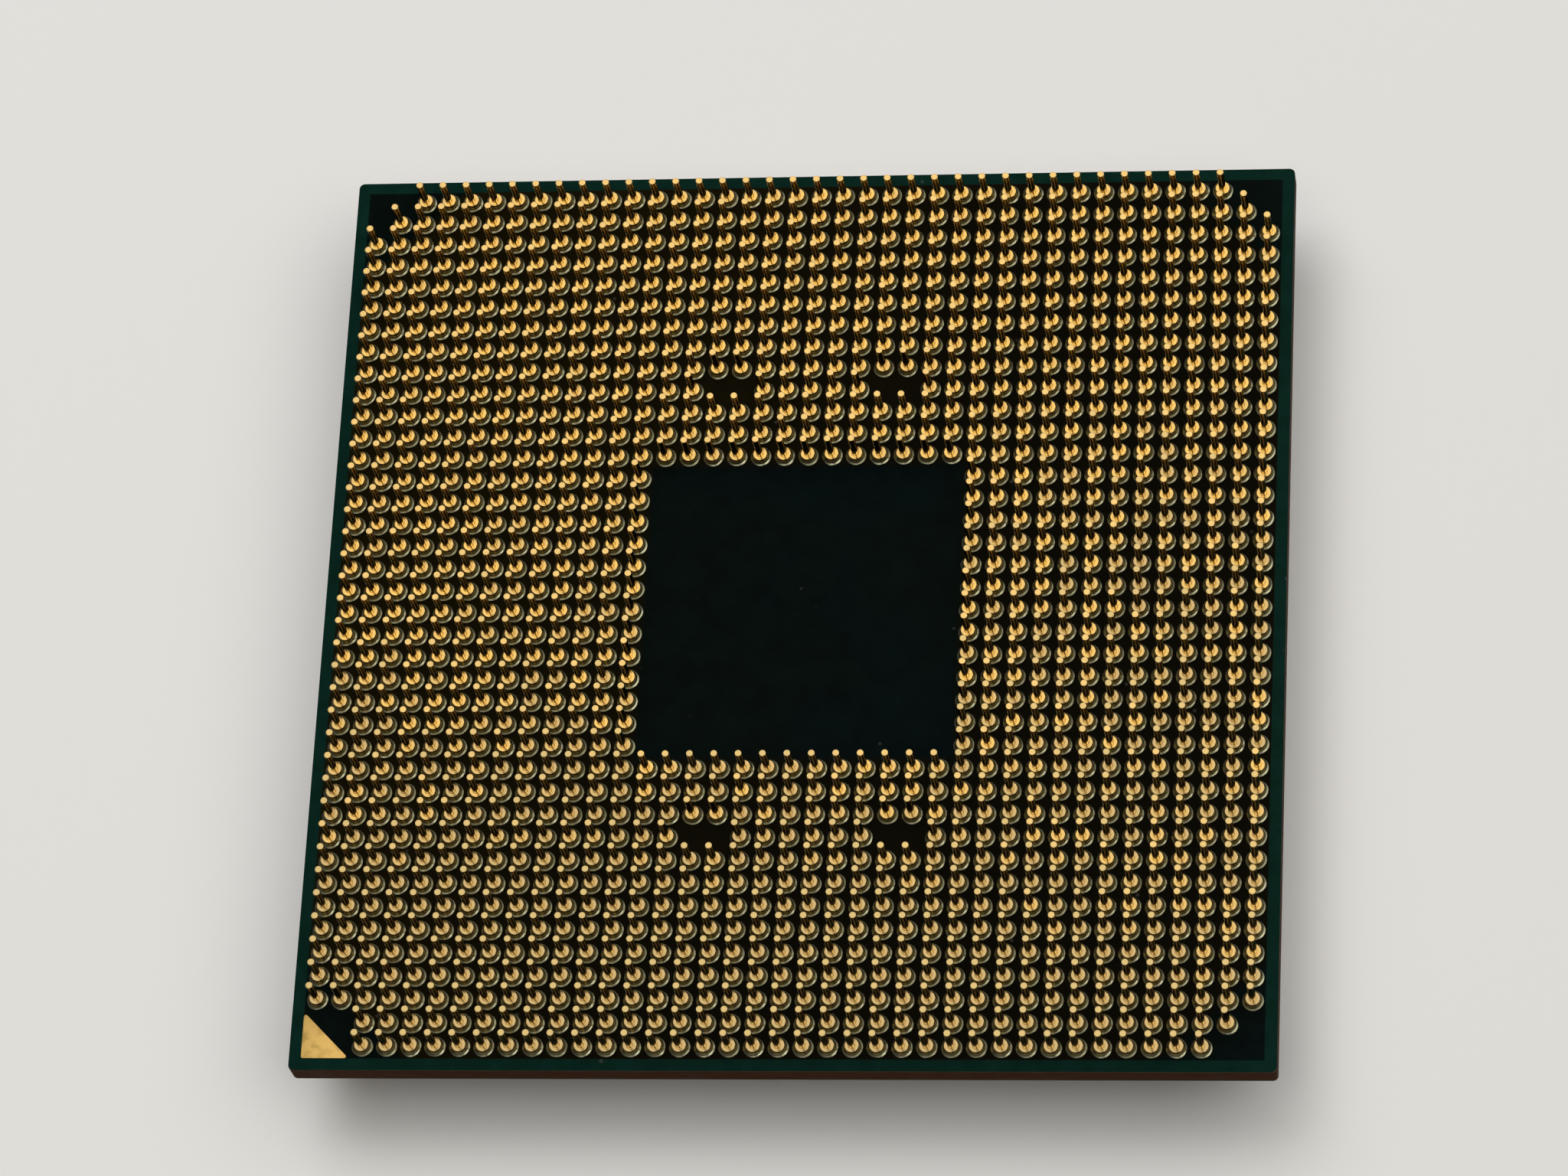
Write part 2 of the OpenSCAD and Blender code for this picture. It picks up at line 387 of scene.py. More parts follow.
def new_group(name, inputs, outputs):
    """A shader node group with named sockets: inputs by name, kind and default, outputs by name and kind."""
    group = bpy.data.node_groups.new(name, "ShaderNodeTree")
    for socket_name, kind, default in inputs:
        socket = group.interface.new_socket(name=socket_name, in_out="INPUT", socket_type=kind)
        socket.default_value = default
    for socket_name, kind in outputs:
        group.interface.new_socket(name=socket_name, in_out="OUTPUT", socket_type=kind)
    return group, group.nodes.new("NodeGroupInput"), group.nodes.new("NodeGroupOutput")


def use_group(tree, group, inputs):
    return add_node(tree, "ShaderNodeGroup", inputs, node_tree=group)


def new_material(name, **fixed):
    """A material with a Principled shader whose fixed values are set on its own sockets."""
    material = bpy.data.materials.new(name)
    material.use_nodes = True
    tree = material.node_tree
    shader = tree.nodes["Principled BSDF"]
    for socket_name, value in fixed.items():
        shader.inputs[socket_name.replace("_", " ")].default_value = value
    return material, tree, shader


def bump(tree, shader, height, strength, depth):
    inputs = {"Height": height, "Strength": strength, "Distance": depth}
    link(tree, add_node(tree, "ShaderNodeBump", inputs).outputs["Normal"], shader.inputs["Normal"])


def colour(red, green, blue):
    return (red, green, blue, 1.0)


# Shared effects

COLOUR = "NodeSocketColor"
VALUE = "NodeSocketFloat"


def make_uneven_plating():
    """Plating that goes from a clean to a dull colour, from piece to piece and in patches."""
    group, given, result = new_group(
        "uneven_plating",
        [
            ("Clean Colour", COLOUR, colour(0.8, 0.8, 0.8)),
            ("Dull Colour", COLOUR, colour(0.4, 0.4, 0.4)),
            ("Clean Roughness", VALUE, 0.2),
            ("Dull Roughness", VALUE, 0.5),
            ("Piece Tone", VALUE, 0.5),
            ("Patch Scale", VALUE, 2000.0),
            ("Patch Share", VALUE, 0.4),
        ],
        [("Colour", COLOUR), ("Roughness", VALUE), ("Dullness", VALUE)],
    )
    patches = noise(group, object_place(group), given.outputs["Patch Scale"], detail=4.0, roughness=0.55)
    patches = ramp(group, patches, 0.42, 0.68)
    patches = math_node(group, "MULTIPLY", patches, given.outputs["Patch Share"])
    piece = ramp(group, given.outputs["Piece Tone"], 0.3, 0.9)
    dullness = math_node(group, "MAXIMUM", patches, piece)
    dull_colour = mix_colour(group, dullness, given.outputs["Clean Colour"], given.outputs["Dull Colour"])
    link(group, dull_colour, result.inputs["Colour"])
    roughness = add_node(
        group,
        "ShaderNodeMapRange",
        {
            "Value": dullness,
            "To Min": given.outputs["Clean Roughness"],
            "To Max": given.outputs["Dull Roughness"],
        },
    )
    link(group, roughness.outputs["Result"], result.inputs["Roughness"])
    link(group, dullness, result.inputs["Dullness"])
    return group


def make_fine_relief():
    """Height of a fine uneven surface, coarse waves with a grain on them."""
    group, given, result = new_group(
        "fine_relief",
        [("Wave Scale", VALUE, 1500.0), ("Grain Scale", VALUE, 12000.0), ("Grain Share", VALUE, 0.4)],
        [("Height", VALUE)],
    )
    place = object_place(group)
    waves = noise(group, place, given.outputs["Wave Scale"], detail=2.0)
    grain = noise(group, place, given.outputs["Grain Scale"], detail=3.0, roughness=0.6)
    grain = math_node(group, "MULTIPLY", grain, given.outputs["Grain Share"])
    link(group, math_node(group, "ADD", waves, grain), result.inputs["Height"])
    return group


def make_settled_dust():
    """Mask of sparse dust specks."""
    group, given, result = new_group(
        "settled_dust",
        [("Speck Scale", VALUE, 2500.0), ("Amount", VALUE, 0.5)],
        [("Mask", VALUE)],
    )
    inputs = {"Vector": object_place(group), "Scale": given.outputs["Speck Scale"]}
    cells = add_node(group, "ShaderNodeTexVoronoi", inputs)
    specks = ramp(group, cells.outputs["Distance"], 0.16, 0.05)
    chosen = add_node(group, "ShaderNodeSeparateColor", {"Color": cells.outputs["Color"]}).outputs[0]
    chosen = ramp(group, chosen, 0.86, 0.95)
    mask = math_node(group, "MULTIPLY", specks, chosen)
    link(group, math_node(group, "MULTIPLY", mask, given.outputs["Amount"]), result.inputs["Mask"])
    return group


UNEVEN_PLATING = make_uneven_plating()
FINE_RELIEF = make_fine_relief()
SETTLED_DUST = make_settled_dust()


# Materials


def roughen(tree, shader, waves, grain, grain_share, strength, depth):
    """Fine relief from waves and a grain of the given scales, as a bump of the given strength and depth."""
    inputs = {"Wave Scale": waves, "Grain Scale": grain, "Grain Share": grain_share}
    relief = use_group(tree, FINE_RELIEF, inputs)
    bump(tree, shader, relief.outputs["Height"], strength, depth)


def plated_metal(name, plating):
    """A plated metal whose colour and roughness come from uneven_plating."""
    material, tree, shader = new_material(name, Metallic=1.0)
    plated = use_group(tree, UNEVEN_PLATING, plating)
    link(tree, plated.outputs["Colour"], shader.inputs["Base Color"])
    link(tree, plated.outputs["Roughness"], shader.inputs["Roughness"])
    return material, tree, shader


def make_pin_gold():
    """Gold plating: uneven on the head and darker on its side, smooth on the shaft with a painted reflection
    at its foot and painted shade above, matt on the tip with a painted highlight.
    """
    material, tree, shader = new_material("pin_gold", Metallic=1.0)
    plating = {
        "Clean Colour": colour(0.78, 0.495, 0.14),
        # The dull colour also paints the near rows' shade, which comes in through the tone
        "Dull Colour": colour(0.53, 0.38, 0.165),
        "Clean Roughness": 0.11,
        "Dull Roughness": 0.20,
        "Piece Tone": piece_tone(tree),
        "Patch Scale": 3000.0,
        "Patch Share": 0.5,
    }
    head = use_group(tree, UNEVEN_PLATING, plating)
    # The head's side below its face is a darker gold
    darker_side = colour(0.50, 0.325, 0.085)
    # Painted reflection: the shaft's foot is painted pale, for the head's bright reflection in it; painted
    # shade: the upper shaft is painted dark
    shaft_painted_reflection = colour(0.92, 0.76, 0.42)
    shaft_painted_shade = colour(0.30, 0.18, 0.045)
    # Painted highlight: the tip's gold is painted paler than the head's, for the light that it catches
    clean_tip_highlight = colour(0.94, 0.63, 0.22)
    dull_tip_highlight = colour(0.69, 0.51, 0.21)
    pale_roughness = 0.11
    dark_roughness = 0.19
    tip_roughness = 0.38

    height = object_height(tree)
    head_top = PIN_FACE + JOINT_FILM + PIN_HEAD_T
    tip = PIN_FACE + PIN_TIP
    on_face = ramp(tree, height, head_top - HEAD_DARK_TO, head_top - HEAD_CLEAN_FROM)
    on_shaft = ramp(tree, height, head_top + SHAFT_FROM, head_top + PIN_FLARE)
    # Share of the upper shaft's painted shade against the foot's painted reflection
    upper = ramp(tree, height, head_top + SHAFT_REFLECTION_TO, head_top + SHAFT_SHADE_FROM)
    on_tip = ramp(tree, height, tip - PIN_TIP_ROUND, tip - PIN_TIP_ROUND * ROUND_MIDDLE)

    head_colour = mix_colour(tree, on_face, darker_side, head.outputs["Colour"])
    shaft_colour = mix_colour(tree, upper, shaft_painted_reflection, shaft_painted_shade)
    tip_colour = mix_colour(tree, head.outputs["Dullness"], clean_tip_highlight, dull_tip_highlight)
    body = mix_colour(tree, on_shaft, head_colour, shaft_colour)
    body = mix_colour(tree, on_tip, body, tip_colour)
    link(tree, body, shader.inputs["Base Color"])

    shaft_roughness = mix_value(tree, upper, pale_roughness, dark_roughness)
    roughness = mix_value(tree, on_shaft, head.outputs["Roughness"], shaft_roughness)
    roughness = mix_value(tree, on_tip, roughness, tip_roughness)
    link(tree, roughness, shader.inputs["Roughness"])
    roughen(tree, shader, waves=5000.0, grain=25000.0, grain_share=0.3, strength=0.2, depth=0.006 * MM)
    return material


def make_mark_gold():
    plating = {
        "Clean Colour": colour(0.75, 0.49, 0.15),
        "Dull Colour": colour(0.49, 0.315, 0.09),
        "Clean Roughness": 0.42,
        "Dull Roughness": 0.55,
        "Piece Tone": 0.4,
        "Patch Scale": 1800.0,
        "Patch Share": 0.7,
    }
    material, tree, shader = plated_metal("mark_gold", plating)
    roughen(tree, shader, waves=2500.0, grain=30000.0, grain_share=0.6, strength=0.3, depth=0.01 * MM)
    return material


def make_joint_solder():
    """Solder, grey where it lies flat and painted brown where it climbs the head, as painted shade in the
    crease under the head.
    """
    material, tree, shader = new_material("joint_solder", Metallic=1.0)
    plating = {
        "Clean Colour": colour(0.42, 0.415, 0.27),
        "Dull Colour": colour(0.33, 0.325, 0.20),
        "Clean Roughness": 0.27,
        "Dull Roughness": 0.40,
        "Piece Tone": piece_tone(tree),
        "Patch Scale": 5000.0,
        "Patch Share": 0.5,
    }
    plated = use_group(tree, UNEVEN_PLATING, plating)
    # Painted shade: the solder that climbs into the crease under the head is painted dark brown
    crease_painted_shade = colour(0.31, 0.255, 0.105)
    grey_to = PIN_FACE + SOLDER_GREY_TO * JOINT_TOP
    shade_from = PIN_FACE + SOLDER_SHADE_FROM * JOINT_TOP
    climbing = ramp(tree, object_height(tree), grey_to, shade_from)
    body = mix_colour(tree, climbing, plated.outputs["Colour"], crease_painted_shade)
    link(tree, body, shader.inputs["Base Color"])
    link(tree, plated.outputs["Roughness"], shader.inputs["Roughness"])
    roughen(tree, shader, waves=6000.0, grain=25000.0, grain_share=0.3, strength=0.15, depth=0.008 * MM)
    return material


def make_lid_nickel():
    plating = {
        "Clean Colour": colour(0.66, 0.64, 0.60),
        "Dull Colour": colour(0.50, 0.47, 0.42),
        "Clean Roughness": 0.3,
        "Dull Roughness": 0.42,
        "Piece Tone": 0.3,
        "Patch Scale": 220.0,
        "Patch Share": 0.6,
    }
    material, tree, shader = plated_metal("lid_nickel", plating)
    roughen(tree, shader, waves=500.0, grain=9000.0, grain_share=0.35, strength=0.25, depth=0.02 * MM)
    return material


def make_solder_mask():
    """Green mask: near black over copper, with a painted brown reflection of the gold pins among them,
    lighter along the margin.
    """
    material, tree, shader = new_material("solder_mask", Specular_IOR_Level=0.022)
    place = object_place(tree)
    axes = add_node(tree, "ShaderNodeSeparateXYZ", {"Vector": place})
    across = math_node(tree, "ABSOLUTE", axes.outputs["X"])
    along = math_node(tree, "ABSOLUTE", axes.outputs["Y"])
    reach = math_node(tree, "MAXIMUM", across, along)
    clouds = ramp(tree, noise(tree, place, 900.0, detail=6.0, roughness=0.65), 0.3, 0.7)
    drift = ramp(tree, noise(tree, place, 110.0, detail=2.0), 0.40, 0.62)

    # Plain tones: the mask over copper, in thick and thin places, and over glass cloth
    thick = mix_colour(tree, drift, colour(0.0007, 0.0026, 0.0018), colour(0.0004, 0.0026, 0.0025))
    thin = mix_colour(tree, drift, colour(0.0018, 0.0047, 0.0035), colour(0.0013, 0.0050, 0.0049))
    over_copper = mix_colour(tree, clouds, thick, thin)
    over_glass = mix_colour(tree, clouds, colour(0.0012, 0.0150, 0.0102), colour(0.0026, 0.0225, 0.0155))

    # Painted reflection of the gold pins, painted brown on the mask and dimmer towards +X
    bright_painted_reflection = mix_colour(tree, clouds, colour(0.0062, 0.0045, 0.0004), colour(0.0092, 0.0065, 0.0008))
    dim_painted_reflection = mix_colour(tree, clouds, colour(0.0030, 0.0023, 0.0003), colour(0.0046, 0.0034, 0.0006))
    sideways = math_node(tree, "MULTIPLY", axes.outputs["Y"], REFLECTION_SLANT)
    slant = math_node(tree, "SUBTRACT", axes.outputs["X"], sideways)
    thinning = ramp(tree, slant, BRIGHT_REFLECTION_TO * LAMINATE_SIDE, DIM_REFLECTION_FROM * LAMINATE_SIDE)
    painted_reflection = mix_colour(tree, thinning, bright_painted_reflection, dim_painted_reflection)

    # Where the tones lie: the painted reflection outside the window and away from the corners, and the
    # margin along the edge
    copper_edge = LAMINATE_SIDE / 2 - MASK_MARGIN
    margin = ramp(tree, reach, copper_edge - MARGIN_SOFT_IN, copper_edge + MARGIN_SOFT_OUT)
    outside_window = ramp(tree, reach, WINDOW_REACH - WINDOW_SOFT_IN, WINDOW_REACH + WINDOW_SOFT_OUT)
    corner_sum = math_node(tree, "ADD", across, along)
    in_corner = ramp(tree, corner_sum, CORNER_REACH - CORNER_SOFT, CORNER_REACH + CORNER_SOFT)
    among_pins = math_node(tree, "SUBTRACT", outside_window, in_corner)
    over_copper = mix_colour(tree, among_pins, over_copper, painted_reflection)
    body = mix_colour(tree, margin, over_copper, over_glass)

    dust = use_group(tree, SETTLED_DUST, {"Speck Scale": 1400.0, "Amount": 0.12})
    body = mix_colour(tree, dust.outputs["Mask"], body, colour(0.30, 0.29, 0.26))
    link(tree, body, shader.inputs["Base Color"])
    link(tree, ramp(tree, clouds, 0.0, 1.0, to_low=0.38, to_high=0.5), shader.inputs["Roughness"])
    roughen(tree, shader, waves=900.0, grain=14000.0, grain_share=0.5, strength=0.2, depth=0.01 * MM)
    return material


def make_cut_laminate():
    """Sawn edge of the laminate: brown resin in layers, with a pale line along each rim."""
    material, tree, shader = new_material("cut_laminate", Specular_IOR_Level=0.03)
    inputs = {"Vector": object_place(tree), "Scale": (LAYER_STRETCH, LAYER_STRETCH, 1.0)}
    stretched = add_node(tree, "ShaderNodeMapping", inputs).outputs[0]
    layers = noise(tree, stretched, 9000.0, detail=3.0, roughness=0.6)
    resin = mix_colour(tree, layers, colour(0.030, 0.0080, 0.0009), colour(0.058, 0.019, 0.0034))
    height = object_height(tree)
    from_top = math_node(tree, "SUBTRACT", laminate_high.z, height)
    from_foot = math_node(tree, "SUBTRACT", height, laminate_low.z)
    from_rim = math_node(tree, "MINIMUM", from_top, from_foot)
    rim = ramp(tree, from_rim, RIM_LINE_TO, RIM_LINE_FULL)
    body = mix_colour(tree, rim, resin, colour(0.060, 0.044, 0.028))
    link(tree, body, shader.inputs["Base Color"])
    link(tree, ramp(tree, layers, 0.3, 0.7, to_low=0.5, to_high=0.75), shader.inputs["Roughness"])
    bump(tree, shader, layers, strength=0.5, depth=0.02 * MM)
    return material


def make_plain_finish(name, base, other, roughness, scale, **fixed):
    """A finish with a little colour and roughness variation, for the pieces under the lid."""
    material, tree, shader = new_material(name, **fixed)
    patches = noise(tree, object_place(tree), scale, detail=4.0, roughness=0.55)
    link(tree, mix_colour(tree, patches, base, other), shader.inputs["Base Color"])
    rougher = roughness + 0.15
    link(tree, ramp(tree, patches, 0.3, 0.7, roughness, rougher), shader.inputs["Roughness"])
    roughen(tree, shader, waves=scale, grain=scale * 6.0, grain_share=0.4, strength=0.2, depth=0.02 * MM)
    return material


PIN_GOLD = make_pin_gold()
MARK_GOLD = make_mark_gold()
JOINT_SOLDER = make_joint_solder()
LID_NICKEL = make_lid_nickel()
SOLDER_MASK = make_solder_mask()
CUT_LAMINATE = make_cut_laminate()


# Pieces


def pin_places(row):
    """Where the pins of a row stand on the laminate, read from the row's solids."""
    low, high = row_boxes[row]
    across = {round(vertex.co.x / PIN_PITCH) for vertex in frame["nodes"][row].data.vertices}
    return [(column * PIN_PITCH, (low.y + high.y) / 2, PIN_FACE) for column in sorted(across)]


def pin_profile():
    """Rings of a nail-headed pin as radius, height and tilt from level, from the head's foot to the tip."""
    level, slanted, upright = 0.0, math.pi / 4, math.pi / 2
    head_top = JOINT_FILM + PIN_HEAD_T
    head_rim = head_top - PIN_HEAD_CROWN
    face_w = PIN_HEAD_R - PIN_HEAD_ROUND - PIN_SHAFT_R - PIN_FLARE
    rim_tilt = math.atan(2 * PIN_HEAD_CROWN / face_w)
    head_middle = PIN_HEAD_ROUND * ROUND_MIDDLE
    flare_middle = PIN_FLARE * ROUND_MIDDLE
    tip_middle = PIN_TIP_ROUND * ROUND_MIDDLE
    return np.array(
        [
            (PIN_HEAD_R, JOINT_FILM, upright),
            (PIN_HEAD_R, head_rim - PIN_HEAD_ROUND, upright),
            (PIN_HEAD_R - head_middle, head_rim - head_middle, slanted),
            (PIN_HEAD_R - PIN_HEAD_ROUND, head_rim, rim_tilt),
            (PIN_HEAD_R - PIN_HEAD_ROUND - face_w / 2, head_top - PIN_HEAD_CROWN / 4, rim_tilt / 2),
            (PIN_SHAFT_R + PIN_FLARE, head_top, level),
            (PIN_SHAFT_R + flare_middle, head_top + flare_middle, slanted),
            (PIN_SHAFT_R, head_top + PIN_FLARE, upright),
            (PIN_SHAFT_R, PIN_TIP - PIN_TIP_ROUND, upright),
            (PIN_SHAFT_R - tip_middle, PIN_TIP - tip_middle, slanted),
            (PIN_SHAFT_R - PIN_TIP_ROUND, PIN_TIP, level),
        ]
    )


def area_dullness_and_shade(places):
    """What the near edge's painted shade and the dull areas add to the tone of the pins at the given places.
    """
    nearness = 0.5 - np.array([place[1] for place in places]) / LAMINATE_SIDE
    # Painted shade: pins towards the near edge are made duller and darker, as if less light reached them
    total = NEAR_PAINTED_SHADE * nearness**2
    for centre, reach in DULL_AREAS:
        away = np.array([(Vector(place[:2]) - centre).length for place in places])
        total += AREA_DULLNESS * np.exp(-((away / reach) ** 2))
    return total


def make_pins(name, rows, draws):
    """The pins of some rows as one piece. Returns their places."""
    places = [place for row in rows for place in pin_places(row)]
    rings = pin_profile()
    shape = (len(places), len(rings), PIN_SEGMENTS)
    radii = np.broadcast_to(rings[None, :, 0, None], shape)
    heights = np.broadcast_to(rings[None, :, 1, None], shape)
    tones = RANDOM_DULLNESS * draws.random(len(places)) + area_dullness_and_shade(places)
    mesh = turned_mesh(name, radii, heights, (JOINT_FILM, PIN_TIP), places, tones, rings[:, 2])
    new_piece(name, mesh, [PIN_GOLD], rows)
    return places


def joint_profile():
    """Rings of a solder joint, from the pad up and under the head.

    Each is a radius, a height and the share of the lumps that it takes. The joint has a low lip on the pad,
    a shallow slope, and a steep climb up the head's side.
    """
    wide = JOINT_R - PIN_HEAD_R
    return np.array(
        [
            (JOINT_R, 0.0, 1.0),
            (JOINT_R - 0.03 * wide, 0.08 * JOINT_TOP, 1.0),
            (PIN_HEAD_R + 0.90 * wide, 0.11 * JOINT_TOP, 0.9),
            (PIN_HEAD_R + 0.43 * wide, 0.295 * JOINT_TOP, 0.5),
            (PIN_HEAD_R + 0.37 * wide, 0.34 * JOINT_TOP, 0.4),
            (PIN_HEAD_R + 0.06 * wide, 0.93 * JOINT_TOP, 0.1),
            (PIN_HEAD_R, JOINT_TOP, 0.0),
            (PIN_HEAD_R, JOINT_FILM, 0.0),
        ]
    )


def make_joints(name, places, draws):
    """Solder joints with a slightly lumpy outline, no two alike."""
    rings = joint_profile()
    count = len(places)
    angles = np.arange(JOINT_SEGMENTS) * (2 * math.pi / JOINT_SEGMENTS)
    lumps = np.zeros((count, JOINT_SEGMENTS))
    for waves, size in LUMP_WAVES:
        strength = draws.normal(0.0, size, (count, 1))
        phase = draws.random((count, 1)) * 2 * math.pi
        lumps += strength * np.cos(waves * angles[None, :] + phase)
    lumps = lumps.clip(-LUMP_LIMIT, LUMP_LIMIT)
    radii = rings[None, :, 0, None] * (1 + rings[None, :, 2, None] * lumps[:, None, :])
    heights = np.broadcast_to(rings[None, :, 1, None], radii.shape)
    tones = draws.random(count)
    mesh = turned_mesh(name, radii, heights, (0.0, JOINT_FILM), places, tones)
    new_piece(name, mesh, [JOINT_SOLDER], ["solder_joints"])


def make_laminate():
    outline = square_outline(LAMINATE_SIDE, LAMINATE_CORNER_R)
    mesh = slab("laminate", outline, laminate_low.z, laminate_high.z, LAMINATE_EDGE_ROUND, side_material=1)
    new_piece("laminate", mesh, [SOLDER_MASK, CUT_LAMINATE], ["package_substrate"])


def make_mark(name, low, high, node):
    """Gold-plated triangle with its right angle towards the package's corner."""
    corners = [Vector((low.x, low.y)), Vector((high.x, low.y)), Vector((low.x, high.y))]
    outline = round_corners(corners, MARK_CORNER_R, CORNER_STEPS)
    mesh = slab(name, outline, low.z, high.z, MARK_EDGE_ROUND)
    new_piece(name, mesh, [MARK_GOLD], [node])


def make_lid():
    """Lid with a rounded contact face below and its hollow above, towards the laminate."""
    shape = bmesh.new()
    outline = square_outline(LID_SIDE, LID_CORNER_R)
    hollow = square_outline(LID_SIDE - 2 * LID_RIM_W, HOLLOW_CORNER_R)
    foot = add_ring(shape, outline, lid_low.z)
    rim = add_ring(shape, outline, lid_high.z)
    mouth = add_ring(shape, hollow, lid_high.z)
    roof = add_ring(shape, hollow, LID_ROOF)
    join_rings(shape, foot, rim)
    join_rings(shape, rim, mouth)
    join_rings(shape, mouth, roof)
    contact_face = shape.faces.new(list(reversed(foot)))
    shape.faces.new(roof)
    round_edges(shape, list(contact_face.edges), LID_BEVEL, LID_EDGE_SEGMENTS)
    mesh = finished_mesh("lid", shape)
    new_piece("lid", mesh, [LID_NICKEL], ["heat_spreader_lid"])


def finish_inner_nodes():
    """Finishes for the CAD pieces that keep their own mesh."""
    silicone = make_plain_finish(
        "lid_silicone",
        colour(0.018, 0.018, 0.018),
        colour(0.035, 0.034, 0.032),
        roughness=0.45,
        scale=900.0,
    )
    interface = make_plain_finish(
        "interface_metal",
        colour(0.62, 0.62, 0.60),
        colour(0.74, 0.74, 0.71),
        roughness=0.3,
        scale=600.0,
        Metallic=1.0,
    )
    silicon = make_plain_finish(
        "die_silicon",
        colour(0.13, 0.14, 0.17),
        colour(0.19, 0.20, 0.24),
        roughness=0.12,
        scale=300.0,
        Metallic=0.6,
    )
    bump_tin = make_plain_finish(
        "bump_tin",
        colour(0.56, 0.55, 0.50),
        colour(0.70, 0.69, 0.64),
        roughness=0.3,
        scale=6000.0,
        Metallic=1.0,
    )
    resin = make_plain_finish(
        "underfill_resin",
        colour(0.030, 0.022, 0.015),
        colour(0.055, 0.042, 0.030),
        roughness=0.3,
        scale=1500.0,
    )
    ceramic = make_plain_finish(
        "capacitor_ceramic",
        colour(0.30, 0.20, 0.12),
        colour(0.40, 0.28, 0.18),
        roughness=0.45,
        scale=2500.0,
    )
    finishes = {
        "lid_adhesive": silicone,
        "thermal_interface": interface,
        "processor_die": silicon,
        "die_bumps": bump_tin,
        "die_underfill": resin,
        "capacitor_bodies": ceramic,
        "capacitor_terminals": bump_tin,
    }
    for name, material in finishes.items():
        mesh = frame["nodes"][name].data
        mesh.materials.clear()
        mesh.materials.append(material)


draws = np.random.default_rng(DRAW_SEED)
for index, band in enumerate(BAND_NAMES):
    rows = pin_rows[index * BAND_ROWS : (index + 1) * BAND_ROWS]
    band_places = make_pins(f"{band}_pins", rows, draws)
    make_joints(f"{band}_joints", band_places, draws)
make_laminate()
make_mark("pin_side_mark", mark_low, mark_high, "pin_side_corner_mark")
make_mark("lid_side_mark", under_mark_low, under_mark_high, "lid_side_corner_mark")
make_lid()
finish_inner_nodes()


# Floor, lights and camera

FLOOR_SIDE = 4.0
FLOOR_DROP = 0.01 * MM
FLOOR_COLOUR = colour(0.84, 0.83, 0.81)

# Pale ceiling: its middle, the cosines to it between which it begins, its light, its stronger light on the
# camera's side, and how far to that side the stronger light is full
CEILING_TOWARDS = Vector((0.22, 0.10, 0.97)).normalized()
CEILING_FROM = 0.68
CEILING_FULL = 0.75
CEILING_LIGHT = 1.32
FRONT_LIGHT = 1.75
FRONT_FULL = 0.35

# Dim walls, and a horizon whose light fades into theirs between two heights
WALL_LIGHT = 0.06
HORIZON_LIGHT = 0.10
HORIZON_FULL = 0.08
HORIZON_TO = 0.22

# Dark strip in the ceiling that each head mirrors as a line: half its width, how it widens to the camera's
# side, its soft edge, where it begins and is full on the way there, and the share of light that it takes
STRIP_HALF_W = 0.05
STRIP_SPREAD = 0.15
STRIP_SOFT = 0.04
STRIP_FROM = -0.16
STRIP_FULL = -0.08
STRIP_DEPTH = 0.92

# Tint of the ceiling and walls, and the fill lamp's direction, distance, side and radiance
SKY_TINT = colour(1.0, 0.98, 0.95)
FILL_TOWARDS = Vector((-0.3, 0.45, 0.84)).normalized()
FILL_DISTANCE = 0.7
FILL_SIDE = 0.5
FILL_RADIANCE = 2.1


def make_floor():
    mesh = bpy.data.meshes.new("floor")
    half = FLOOR_SIDE / 2
    corners = [
        (-half, -half, -FLOOR_DROP),
        (half, -half, -FLOOR_DROP),
        (half, half, -FLOOR_DROP),
        (-half, half, -FLOOR_DROP),
    ]
    mesh.from_pydata(corners, [], [(0, 1, 2, 3)])
    floor = bpy.data.objects.new("floor", mesh)
    bpy.context.scene.collection.objects.link(floor)
    finish = {"Base_Color": FLOOR_COLOUR, "Roughness": 0.9, "Specular_IOR_Level": 0.1}
    mesh.materials.append(new_material("pale_floor", **finish)[0])


def add_fill_lamp():
    """A square lamp that lights the matt surfaces and doesn't show in the metal."""
    data = bpy.data.lights.new("fill_softbox", "AREA")
    data.shape = "SQUARE"
    data.size = FILL_SIDE
    data.energy = FILL_RADIANCE * math.pi * FILL_SIDE * FILL_SIDE
    lamp = bpy.data.objects.new("fill_softbox", data)
    bpy.context.scene.collection.objects.link(lamp)
    lamp.location = FILL_TOWARDS * FILL_DISTANCE
    lamp.rotation_euler = FILL_TOWARDS.to_track_quat("Z", "Y").to_euler()
    lamp.visible_glossy = False


def view_back():
    """Direction from the part to the camera."""
    azimuth = math.radians(VIEW_AZIMUTH)
    elevation = math.radians(VIEW_ELEVATION)
    level = math.cos(elevation)
    return Vector((math.sin(azimuth) * level, -math.cos(azimuth) * level, math.sin(elevation)))


def nearness_to(tree, direction, target):
    """Cosine of the angle between a direction and a target direction."""
    inputs = {0: direction, 1: tuple(target)}
    return add_node(tree, "ShaderNodeVectorMath", inputs, operation="DOT_PRODUCT").outputs["Value"]


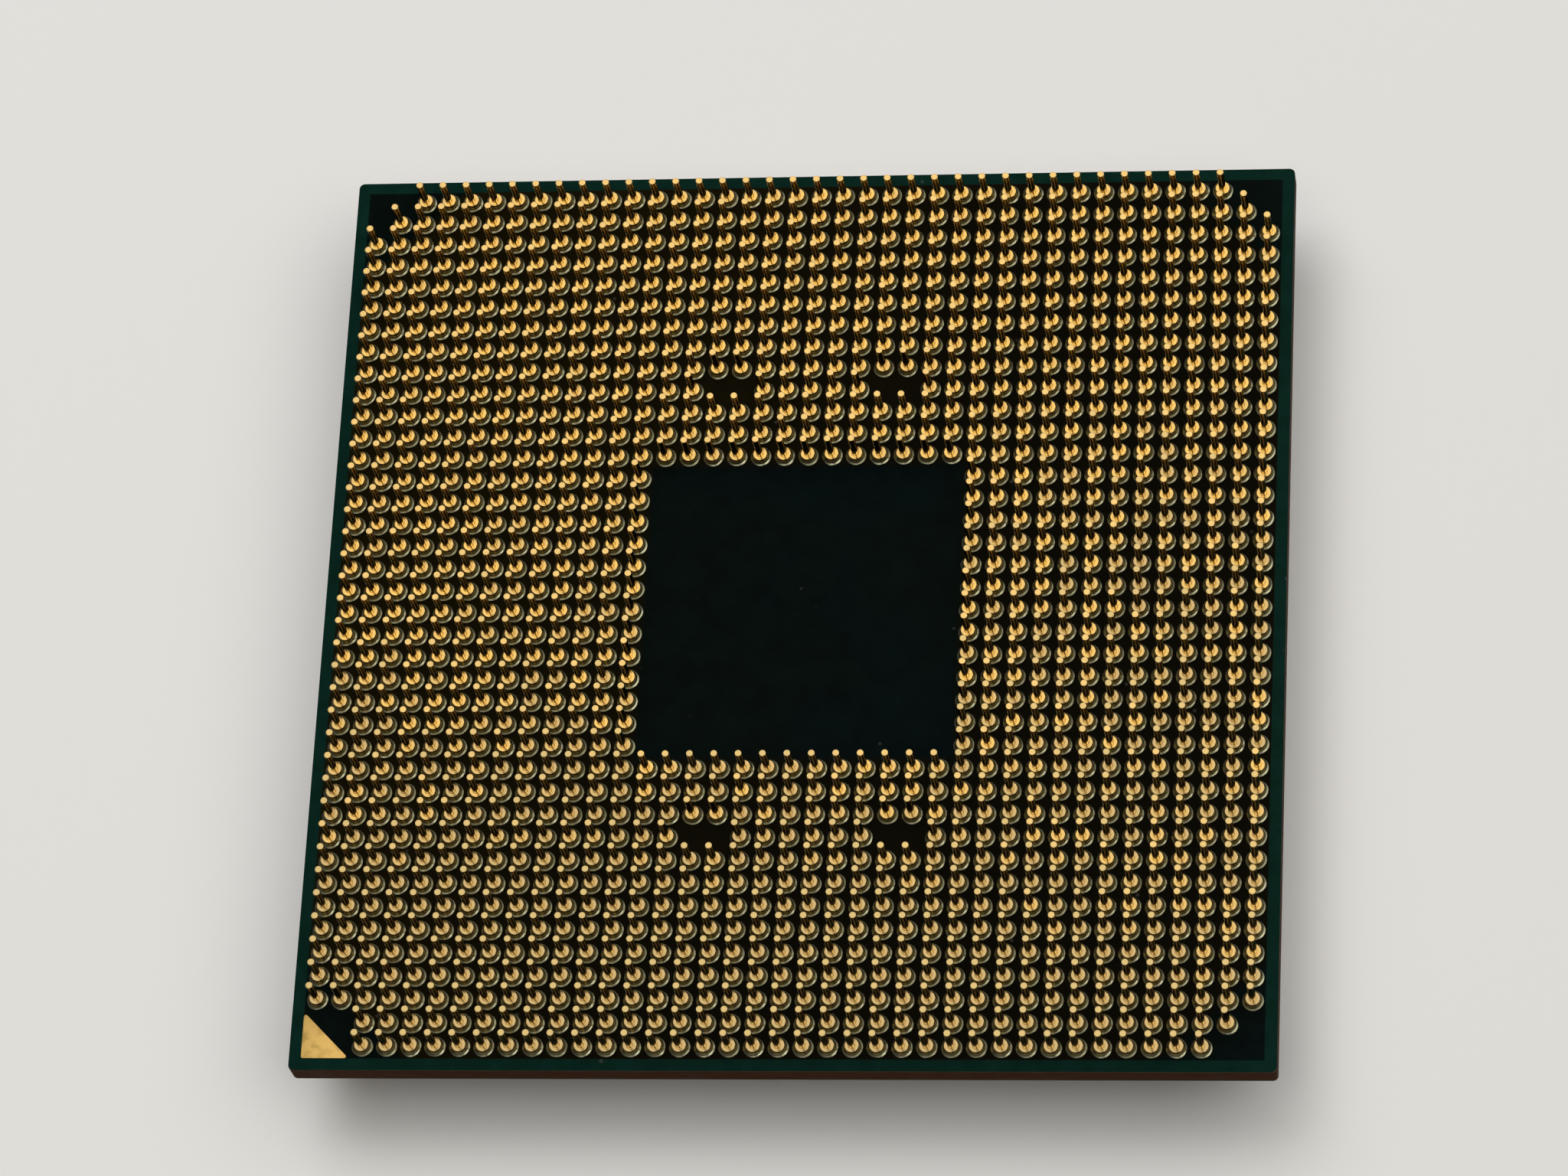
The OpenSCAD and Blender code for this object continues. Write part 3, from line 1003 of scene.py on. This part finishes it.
def light_the_part():
    """A pale ceiling, brighter on the camera's side and cut by a dark strip, over dim walls."""
    world = bpy.data.worlds.new("studio")
    bpy.context.scene.world = world
    world.use_nodes = True
    tree = world.node_tree
    direction = add_node(tree, "ShaderNodeTexCoord").outputs["Generated"]
    height = add_node(tree, "ShaderNodeSeparateXYZ", {"Vector": direction}).outputs["Z"]
    low_sky = ramp(tree, height, HORIZON_FULL, HORIZON_TO, HORIZON_LIGHT, WALL_LIGHT)
    upward = nearness_to(tree, direction, CEILING_TOWARDS)
    ceiling = ramp(tree, upward, CEILING_FROM, CEILING_FULL)

    back = view_back()
    front = Vector((back.x, back.y, 0.0)).normalized()
    side = front.cross(Vector((0, 0, 1)))
    forward = nearness_to(tree, direction, front)
    lamps = ramp(tree, forward, 0.0, FRONT_FULL, CEILING_LIGHT, FRONT_LIGHT)
    sky = math_node(tree, "MAXIMUM", low_sky, math_node(tree, "MULTIPLY", ceiling, lamps))

    sideways = math_node(tree, "ABSOLUTE", nearness_to(tree, direction, side))
    spread = math_node(tree, "MULTIPLY", forward, STRIP_SPREAD)
    from_middle = math_node(tree, "SUBTRACT", sideways, spread)
    across_strip = ramp(tree, from_middle, STRIP_HALF_W + STRIP_SOFT, STRIP_HALF_W)
    along_strip = ramp(tree, forward, STRIP_FROM, STRIP_FULL)
    in_strip = math_node(tree, "MULTIPLY", across_strip, along_strip)
    shade = ramp(tree, in_strip, 0.0, 1.0, 1.0, 1.0 - STRIP_DEPTH)
    background = tree.nodes["Background"]
    background.inputs["Color"].default_value = SKY_TINT
    link(tree, math_node(tree, "MULTIPLY", sky, shade), background.inputs["Strength"])


def place_camera():
    azimuth = math.radians(VIEW_AZIMUTH)
    roll = math.radians(VIEW_ROLL)
    back = view_back()
    right = Vector((math.cos(azimuth), math.sin(azimuth), 0.0))
    up = back.cross(right)
    rolled_right = right * math.cos(roll) + up * math.sin(roll)
    rolled_up = up * math.cos(roll) - right * math.sin(roll)
    data = bpy.data.cameras.new("camera")
    data.lens = VIEW_LENS
    data.sensor_width = VIEW_SENSOR_W
    data.clip_start = VIEW_CLIP_START
    camera = bpy.data.objects.new("camera", data)
    bpy.context.scene.collection.objects.link(camera)
    turn = Matrix((rolled_right, rolled_up, back)).transposed().to_4x4()
    camera.matrix_world = Matrix.Translation(VIEW_AIM + back * VIEW_DISTANCE) @ turn
    bpy.context.scene.camera = camera


make_floor()
light_the_part()
add_fill_lamp()
place_camera()
bpy.context.scene.view_settings.view_transform = "Standard"
